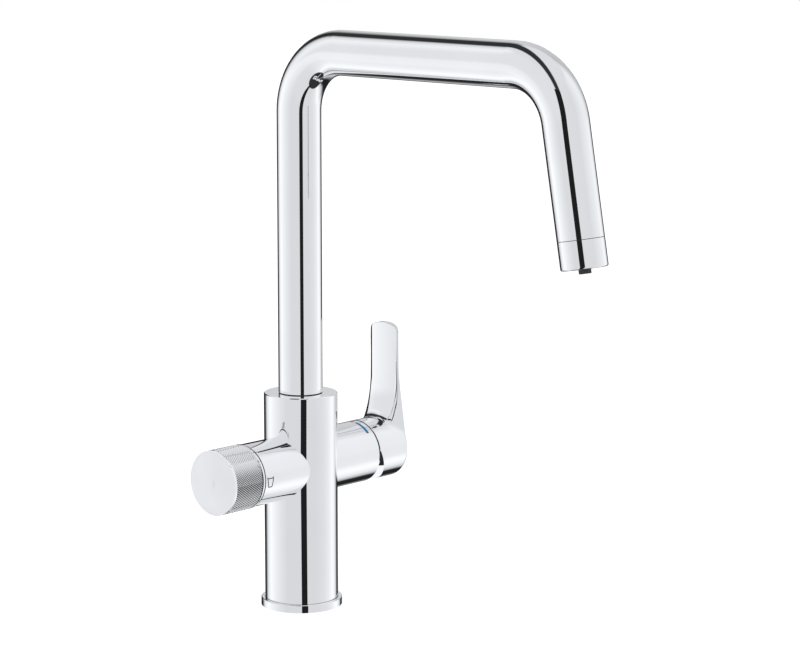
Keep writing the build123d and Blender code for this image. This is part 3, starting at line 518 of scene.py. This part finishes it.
def make_knob_sleeve(materials):
    """The knob's sleeve, with a diamond knurl of flat-sided points between two plain bands."""
    count = 2 * knurl_ridges
    open_x, face_x = sleeve_box[1].x, sleeve_box[0].x
    first_x, last_x = open_x - knurl_band, face_x + knurl_band
    valley_r = knob_r - knurl_depth
    rows = [
        (open_x, sleeve_bore_r),
        (open_x, knob_r - sleeve_edge),
        (open_x - sleeve_edge, knob_r),
        (first_x, knob_r),
    ]
    knurl_start = len(rows)
    rows += [(first_x + (last_x - first_x) * j / knurl_rows, None) for j in range(knurl_rows + 1)]
    knurl_end = len(rows) - 1
    rows += [
        (last_x, knob_r),
        (face_x + sleeve_edge, knob_r),
        (face_x, knob_r - sleeve_edge),
        (face_x, sleeve_rebate_r),
        (face_x + sleeve_rebate, sleeve_rebate_r),
        (face_x + sleeve_rebate, sleeve_bore_r),
    ]
    points, faces, flat = [], [], []
    for j, (x, radius) in enumerate(rows):
        for i in range(count):
            r = radius
            if r is None:
                peak = (i + j) % 2 == 0 and knurl_start < j < knurl_end
                r = knob_r if peak else valley_r
            points.append(arm_point(x, 2 * pi * i / count, r))
    for j in range(len(rows)):
        below = (j + 1) % len(rows)
        for i in range(count):
            ahead = (i + 1) % count
            a, b = j * count + i, j * count + ahead
            c, d = below * count + ahead, below * count + i
            if knurl_start <= j < knurl_end:
                # Each cell is split along its valley, so that four halves make a point
                faces += ((a, b, d), (b, c, d)) if (i + j) % 2 == 0 else ((a, b, c), (a, c, d))
                flat += [True, True]
            else:
                faces.append((a, b, c, d))
                flat.append(False)
    sleeve = mesh_object("knob_knurled_sleeve", points, faces, materials["knurl_chrome_painted_shade"])
    for face, is_flat in zip(sleeve.data.polygons, flat):
        face.use_smooth = not is_flat
    sleeve.data.set_sharp_from_angle(angle=sleeve_sharp)
    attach(sleeve, "filter_knob")
    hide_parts("knob_sleeve")


def arc_path(x, first, last):
    """Places of an arc round an arm, from the first turn to the last."""
    return [(x, first + (last - first) * i / arc_steps) for i in range(arc_steps + 1)]


def ribbon(name, material, path, width):
    """A thin line on an arm, a printed mark or painted shade, along (along, turn) places, in metres and
    radians.
    """
    radius = arm_r + ribbon_lift
    corners = [Vector((x, turn * radius)) for x, turn in path]
    flat = []
    for here, ahead in zip(corners, corners[1:]):
        count = max(ceil((ahead - here).length / ribbon_step), 1)
        flat += [here.lerp(ahead, i / count) for i in range(count)]
    flat.append(corners[-1])
    total = len(flat)
    points = []
    for i, here in enumerate(flat):
        way = (flat[min(i + 1, total - 1)] - flat[max(i - 1, 0)]).normalized()
        side = Vector((-way.y, way.x)) * width / 2
        for edge in (here + side, here - side):
            points.append(arm_point(edge.x, edge.y / radius, radius))
    faces = [(2 * i, 2 * i + 1, 2 * i + 3, 2 * i + 2) for i in range(total - 1)]
    made = mesh_object(name, points, faces, material)
    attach(made, "tap_body")


def corner_points(corners, radius):
    """A closed outline with its corners rounded."""
    outline = []
    for i, corner in enumerate(corners):
        back = (corners[i - 1] - corner).normalized()
        on = (corners[(i + 1) % len(corners)] - corner).normalized()
        for step in range(round_steps + 1):
            t = step / round_steps
            outline.append(corner + back * radius * (1 - t) ** 2 + on * radius * t**2)
    return outline


def make_gap_painted_shade(materials):
    """Painted shade in the narrow gaps at both arm ends: a thin dark line, in the rubber's colour, round the
    end of each arm.
    """
    for name, x, last in (
        ("knob_gap_painted_shade", arm_end_left + gap_shade_w / 2, pi),
        ("lever_gap_painted_shade", arm_end_right - gap_shade_w / 2, lever_gap_turn),
    ):
        # Each line is painted shade drawn in the rubber's dark colour, not a rubber part
        ribbon(name, materials["rubber"], arc_path(x, -pi, last), gap_shade_w)


def make_seam_painted_shade(materials):
    """Painted shade in the spout's two thin seams: narrow dark rings, in the rubber's colour, just inside
    them.
    """
    leg_way = Vector((0, -sin(leg_lean), -cos(leg_lean)))
    leg_corner = Vector((0, -spout_reach, spout_z))
    seam = leg_corner + leg_way * (leg_len - outlet_sleeve_len - seam_gap)
    side = Vector((1, 0, 0))
    for name, foot, way, radius, width in (
        ("spout_foot_painted_shade", Vector((0, 0, column_top)), Vector((0, 0, 1)), washer_shade_r, washer_t),
        ("outlet_seam_painted_shade", seam, leg_way, seam_shade_r, seam_gap),
    ):
        ahead = way.cross(side)
        points = []
        for i in range(seam_steps):
            turn = 2 * pi * i / seam_steps
            out = (side * cos(turn) + ahead * sin(turn)) * radius
            points += [foot + out, foot + out + way * width]
        total = 2 * seam_steps
        faces = [(i, (i + 2) % total, (i + 3) % total, i + 1) for i in range(0, total, 2)]
        # Each ring is painted shade drawn in the rubber's dark colour, not a rubber part
        shade_band = mesh_object(name, points, faces, materials["rubber"])
        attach(shade_band, "spout")


def make_marks(materials):
    """Red and blue arcs for hot and cold on the right arm, a tumbler on the left."""
    first, last = heat_mark_turns
    for name, colour, way in (("hot_mark", "mark_red", -1), ("cold_mark", "mark_blue", 1)):
        path = arc_path(heat_mark_x, heat_mark_shift + way * first, heat_mark_shift + way * last)
        ribbon(name, materials[colour], path, heat_mark_w)
    rim, foot = tumbler_rim_w / 2, tumbler_foot_w / 2
    corners = [
        Vector((tumbler_x - rim, -tumbler_up)),
        Vector((tumbler_x - foot, tumbler_down)),
        Vector((tumbler_x + foot, tumbler_down)),
        Vector((tumbler_x + rim, -tumbler_up)),
    ]
    # Only the two corners of the tumbler's foot are rounded
    corner_size = round_steps + 1
    rounded = corner_points(corners, tumbler_round)[corner_size : 3 * corner_size]
    glass = [corners[0]] + rounded + [corners[3]]
    middle = pi / 2
    outline = [(p.x, middle + p.y / arm_r) for p in glass]
    water_w = rim - (rim - foot) * (tumbler_up - tumbler_water) / (tumbler_up + tumbler_down)
    level = middle - tumbler_water / arm_r
    water = [(tumbler_x - water_w, level), (tumbler_x + water_w, level)]
    for name, path in (("tumbler_mark", outline), ("tumbler_water_mark", water)):
        ribbon(name, materials["mark_grey"], path, tumbler_line)


def arch_width(z):
    """Half of the blade's width under its arched top, which has rounded corners."""
    arch_z = blade_top - blade_arch_r
    corner_y = blade_half_w + blade_skin - blade_corner
    corner_z = arch_z + sqrt((blade_arch_r - blade_corner) ** 2 - corner_y**2)
    if z <= corner_z:
        return 2 * blade_half_w
    arch_end_z = arch_z + (corner_z - arch_z) * blade_arch_r / (blade_arch_r - blade_corner)
    if z < arch_end_z:
        return corner_y + sqrt(blade_corner**2 - (z - corner_z) ** 2)
    return sqrt(max(blade_arch_r**2 - (z - arch_z) ** 2, 0.0))


def blade_outline(z):
    """Half of the blade's outline at a height.

    It gives the back arc, the flank's two ends, the edge's centre and radius, and the face arc.
    """
    below_bend = max(blade_bend_z - z, 0)
    inner_x = blade_inner_x - blade_skin - blade_bend_r + sqrt(blade_bend_r**2 - below_bend**2)
    side_x = blade_side_x - blade_lean * (z - blade_root) / (blade_solid_top - blade_root)
    below_flare = max(blade_flare_z - z, 0)
    on_arc = min(below_flare, blade_flare_r * sin(atan(blade_flare_slope)))
    side_w = blade_half_w + blade_skin + blade_flare_r - sqrt(blade_flare_r**2 - on_arc**2)
    side_w += blade_flare_slope * (below_flare - on_arc)
    face_r = (blade_half_w**2 + blade_bulge**2) / (2 * blade_bulge)
    face_x = inner_x - blade_bulge + face_r
    inner_w = min(blade_half_w + blade_skin, arch_width(z))
    crown = blade_crown_root
    crown += (blade_crown - blade_crown_root) * sin(pi / 2 * min((z - blade_root) / blade_crown_rise, 1))
    low, high = blade_back_out
    crown += blade_skin * min(max((2 * z - low - high) / (high - low), -1), 1)
    back_r = (side_w**2 + crown**2) / (2 * crown)
    back_x = side_x + crown - back_r
    side_w = min(side_w, arch_width(z))
    side = Vector((back_x + sqrt(back_r**2 - side_w**2), side_w))
    inner = Vector((face_x - sqrt(face_r**2 - inner_w**2), inner_w))
    high, low = blade_edge_turn
    share = min(max((high - z) / (high - low), 0), 1)
    edge_r = blade_edge_r + (blade_edge_root_r - blade_edge_r) * share**2 * (3 - 2 * share)
    edge_r = min(edge_r, blade_edge_share * inner_w)
    # The rounded edge takes no more than its share of the flank
    flank = (inner - side).normalized()
    turn = flank.angle(Vector((-inner.y, inner.x - face_x)))
    edge_r = min(edge_r, (inner - side).length * blade_flank_share / max(tan(turn / 2), least_tan))
    # The edge's centre lies edge_r inside the flank and inside the face arc
    inward = Vector((-flank.y, flank.x))
    if inward.y > 0:
        inward = -inward
    start = side + inward * edge_r - Vector((face_x, 0))
    along = start.dot(flank)
    half_chord = sqrt(along**2 - start.length_squared + (face_r - edge_r) ** 2)
    reach = -along - half_chord
    if reach < 0:
        reach = -along + half_chord
    centre = start + flank * reach + Vector((face_x, 0))
    return (back_x, back_r), side, centre - inward * edge_r, centre, edge_r, (face_x, face_r)


def blade_point(share, z):
    """A point of the blade's back (-1 to 0), flank (0 to 1), rounded edge (1 to 2) and inner face (2 to 3)."""
    (back_x, back_r), side, flank_end, centre, edge_r, (face_x, face_r) = blade_outline(z)
    if share <= 0:
        y = side.y * (1 + share)
        return Vector((back_x + sqrt(back_r**2 - y**2), y, z))
    if share <= 1:
        return Vector((*side.lerp(flank_end, share), z))
    out = (flank_end - centre).normalized()
    start = atan2(out.y, out.x)
    away = (centre - Vector((face_x, 0))).normalized()
    end = atan2(away.y, away.x)
    if share <= 2:
        angle = start + (end - start) * (share - 1)
        return Vector((centre.x + edge_r * cos(angle), centre.y + edge_r * sin(angle), z))
    angle = end + (pi - end) * (share - 2)
    return Vector((face_x + face_r * cos(angle), face_r * sin(angle), z))


def blade_normal(share, z):
    """The way the blade's surface faces at a point."""
    small = 0.01
    low, high = max(share - small, small * small), min(share + small, 3)
    along = blade_point(high, z) - blade_point(low, z)
    rise = blade_point(share, z + small) - blade_point(share, z - small)
    face = rise.cross(along)
    return face.normalized() * (1 if face.x < 0 else -1)


def strip_shares(first, strips):
    """Places along the blade's outline: each stretch of it in this many strips, from the first share on."""
    shares = [first + k + i / count for k, count in enumerate(strips) for i in range(count)]
    return shares + [float(first + len(strips))]


def make_blade(materials):
    """The handle's blade, from inside the cap up to the arched top."""
    shares = strip_shares(-1, blade_strips)
    arch_z = blade_top - blade_arch_r
    corner_arc = blade_arch_r - blade_corner
    arch_start = acos((blade_half_w - blade_corner) / corner_arc)
    last_z = arch_z + corner_arc * sin(arch_start)
    heights = [blade_root + (last_z - blade_root) * i / blade_rows for i in range(blade_rows + 1)]
    corner_turns = [arch_start * i / blade_corner_rows for i in range(1, blade_corner_rows + 1)]
    heights += [last_z + blade_corner * sin(t) for t in corner_turns]
    arch_turns = [arch_start + (pi / 2 - arch_start) * i / blade_arch_rows for i in range(1, blade_arch_rows)]
    heights += [arch_z + blade_arch_r * sin(t) for t in arch_turns]
    rows = []
    for z in heights:
        half = [blade_point(share, z) for share in shares]
        rows.append(half + [Vector((p.x, -p.y, p.z)) for p in half[-2:0:-1]])
    blade = closed_rows("lever_blade_face", rows, materials["chrome_plate"], blade_sharp)
    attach(blade, "lever")


def cap_distance(spot):
    """How far a place is from the handle's cap, and the way from the cap to it."""
    out = Vector((0, spot.y, spot.z - arm_z / MM))
    radius = out.length
    out.normalize()
    x = spot.x - cap_shoulder_x
    if x <= 0:
        return radius - cap_r, out
    corner = Vector((x, 0, 0)) + out * (radius - cap_r + cap_round)
    return corner.length - cap_round, corner.normalized()


def root_ball(share, radius):
    """Centre of a ball that touches the cap and the blade, and its ways to both."""
    halvings = 40
    low, high = blade_root, blade_root + 2 * cap_r
    for _ in range(halvings):
        z = (low + high) / 2
        face = blade_normal(share, z)
        centre = blade_point(share, z) + face * radius
        distance, out = cap_distance(centre)
        if distance > radius:
            high = z
        else:
            low = z
    return centre, -face, -out


def make_handle_root(materials):
    """The hollow rounding between the handle's blade and its cap, as a bead that fills the seam."""
    half = []
    for share in strip_shares(0, root_strips):
        if share <= 1:
            radius = root_end_r + (root_side_r - root_end_r) * sin(pi / 2 * share)
        elif share <= 2:
            radius = root_side_r + (root_face_r - root_side_r) * (1 - cos(pi * (share - 1))) / 2
        else:
            radius = root_face_r
        centre, to_blade, to_cap = root_ball(share, radius)
        turn = to_blade.angle(to_cap)
        row = []
        for step in range(root_steps + 1):
            t = step / root_steps
            way = (to_blade * sin((1 - t) * turn) + to_cap * sin(t * turn)) / sin(turn)
            sink = root_sink * (1 - sin(pi * t))
            row.append(centre + way * (radius + sink))
        row.append(centre + (to_blade + to_cap).normalized() * (radius / cos(turn / 2) + 2 * root_sink))
        half.append(row)
    rows = half + [[Vector((p.x, -p.y, p.z)) for p in row] for row in half[-2::-1]]
    root = closed_rows("lever_root_rounding", rows, materials["chrome_plate"], root_sharp)
    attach(root, "lever")


def make_floor():
    """The white floor, which the chrome doesn't mirror."""
    material, tree, shader = new_material("floor_white")
    shader.inputs["Base Color"].default_value = (floor_grey, floor_grey, floor_grey, 1)
    shader.inputs["Roughness"].default_value = floor_roughness
    shader.inputs["Specular IOR Level"].default_value = 0.0
    rays = node(tree, "ShaderNodeLightPath")
    glow = math_node(tree, "MULTIPLY", rays.outputs["Is Camera Ray"], floor_glow)
    shader.inputs["Emission Color"].default_value = (1, 1, 1, 1)
    link(tree, (glow, shader.inputs["Emission Strength"]))
    corners = [(x * floor_reach, y * floor_reach, 0) for x, y in ((-1, -1), (1, -1), (1, 1), (-1, 1))]
    floor = mesh_object("floor", corners, [(0, 1, 2, 3)], material)
    floor.visible_glossy = False


def make_flags():
    """The dark flags, which only the chrome sees."""
    material, tree, shader = new_material("flag_black")
    shader.inputs["Base Color"].default_value = (0.0, 0.0, 0.0, 1)
    shader.inputs["Specular IOR Level"].default_value = 0.0
    shader.inputs["Emission Color"].default_value = (flag_glow, flag_glow, flag_glow, 1)
    shader.inputs["Emission Strength"].default_value = 1.0
    foot = Vector((*flag_place, 0))
    away = foot.normalized()
    side = Vector((-away.y, away.x, 0)) * flag_width / 2
    card_ends = [Vector((x, card_back, 0)) for x in (card_left, card_right)]
    for name, (start, end), low, high in (
        ("flag_front", (foot - side, foot + side), flag_low, flag_high),
        ("flag_back", card_ends, card_low, card_high),
    ):
        ring = ((start, low), (end, low), (end, high), (start, high))
        corners = [spot + Vector((0, 0, z)) for spot, z in ring]
        flag = mesh_object(name, corners, [(0, 1, 2, 3)], material)
        flag.visible_camera = False
        flag.visible_shadow = False
        flag.visible_diffuse = False


def make_key_light():
    """A soft lamp that the chrome doesn't mirror."""
    lamp = bpy.data.lights.new("key", "AREA")
    lamp.energy = key_power
    lamp.size = key_size
    key = bpy.data.objects.new("key", lamp)
    key.location = key_place
    key.rotation_mode = "QUATERNION"
    key.rotation_quaternion = (Vector(key_aim) - Vector(key_place)).to_track_quat("-Z", "Y")
    key.visible_glossy = False
    bpy.context.scene.collection.objects.link(key)


def make_camera():
    """The camera at the photograph's place."""
    ahead = Vector((
        sin(camera_yaw) * cos(camera_pitch),
        cos(camera_yaw) * cos(camera_pitch),
        -sin(camera_pitch),
    ))
    level = Vector((cos(camera_yaw), -sin(camera_yaw), 0))
    up = level.cross(ahead)
    right = level * cos(camera_roll) + up * sin(camera_roll)
    top = up * cos(camera_roll) - level * sin(camera_roll)
    data = bpy.data.cameras.new("camera")
    data.sensor_width = sensor_mm
    data.lens = sensor_mm * focal_px / image_width
    camera = bpy.data.objects.new("camera", data)
    camera.matrix_world = Matrix.Translation(camera_place) @ Matrix((right, top, -ahead)).transposed().to_4x4()
    bpy.context.scene.collection.objects.link(camera)
    bpy.context.scene.camera = camera


materials = make_materials()
dress_frame(materials)
set_world()
make_floor()
make_flags()
make_key_light()
make_camera()
make_knob_sleeve(materials)
make_gap_painted_shade(materials)
make_seam_painted_shade(materials)
make_marks(materials)
make_blade(materials)
make_handle_root(materials)
bpy.context.scene.view_settings.view_transform = "Standard"
